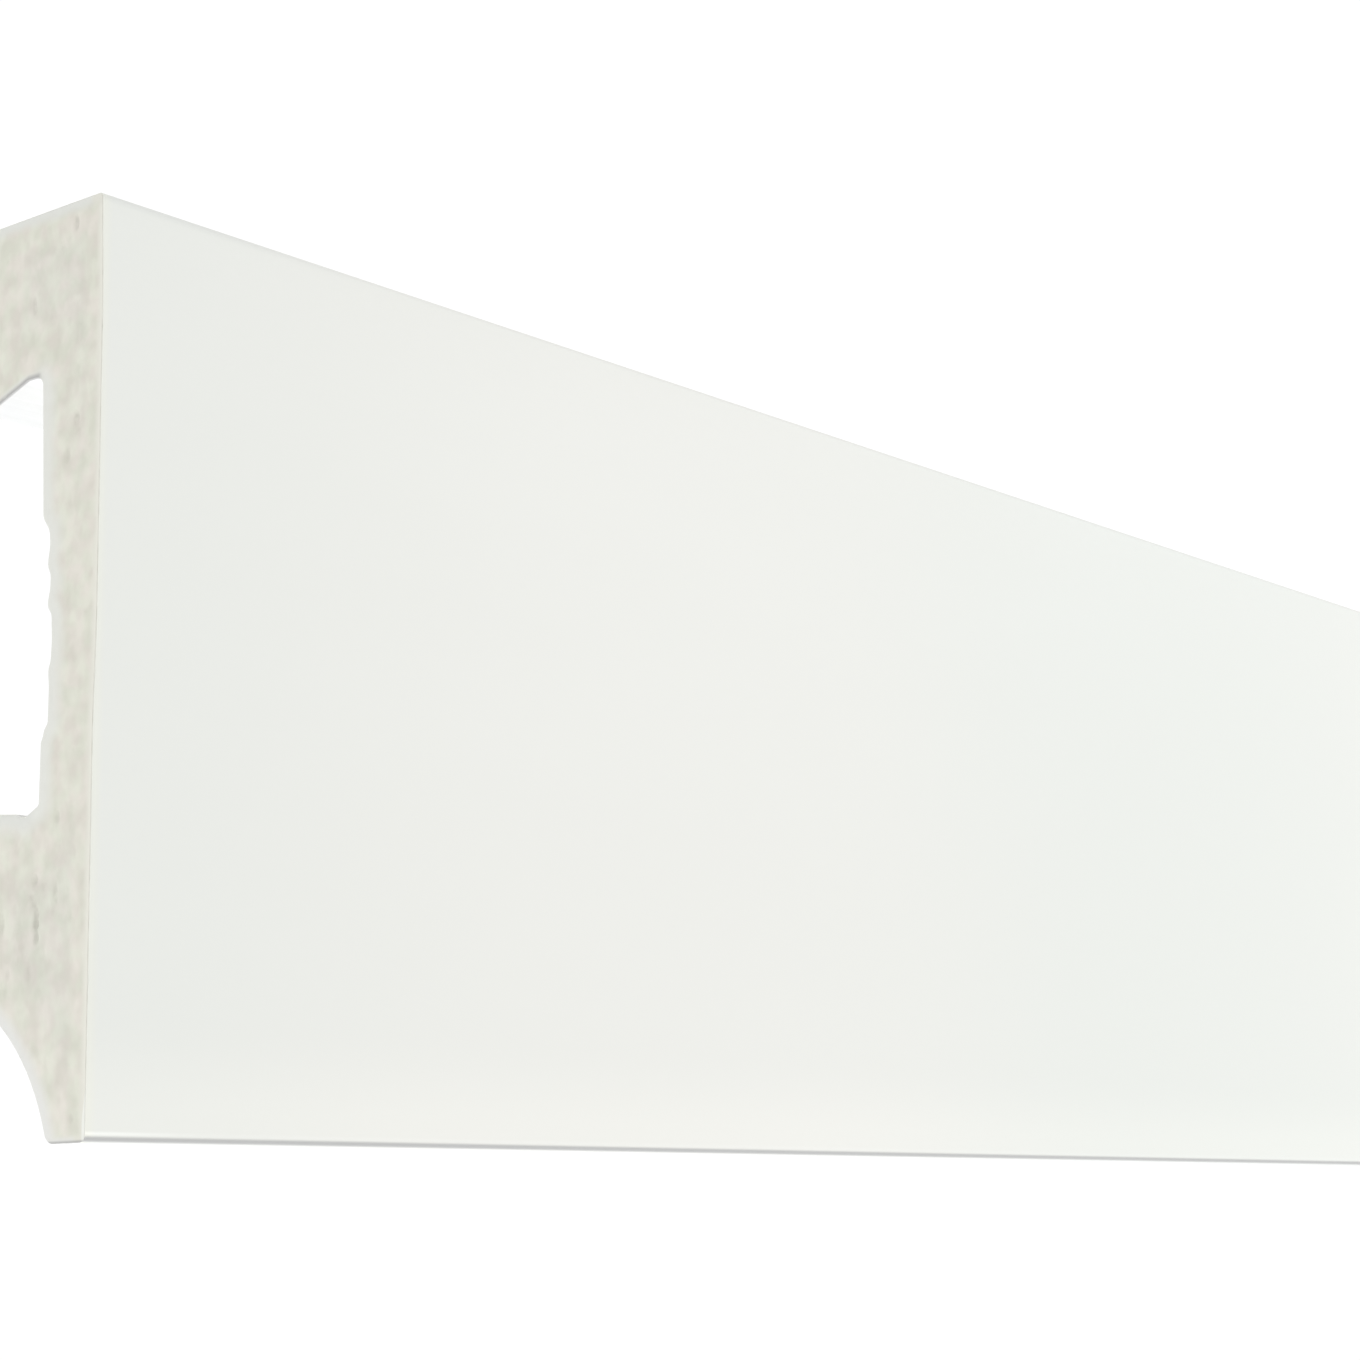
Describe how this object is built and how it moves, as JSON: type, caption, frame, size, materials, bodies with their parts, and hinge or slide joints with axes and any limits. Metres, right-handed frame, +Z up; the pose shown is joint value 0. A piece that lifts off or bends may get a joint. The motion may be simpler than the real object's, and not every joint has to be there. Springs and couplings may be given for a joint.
{
  "type": "skirting board",
  "caption": "Plain flat-faced foam skirting board with a white coat, a solid head and base, an open cable channel at the back and a cove behind its narrow foot.",
  "frame": {"origin": "centre of the lower wall land, halfway along the board, on the wall plane, 25.5 mm above the floor line", "axes": "+X along the board, +Y out of the back towards the wall, so the front face looks along -Y, +Z up"},
  "size_m": [1, 0.02, 0.1],
  "materials": {
    "coated_foam": "satin white primer coat on the front, top and foot, over bare warm grey-white rigid foam at the cut ends and the back"
  },
  "bodies": {
    "root": {"skirting_board": "coated_foam"}
  },
  "joints": []
}
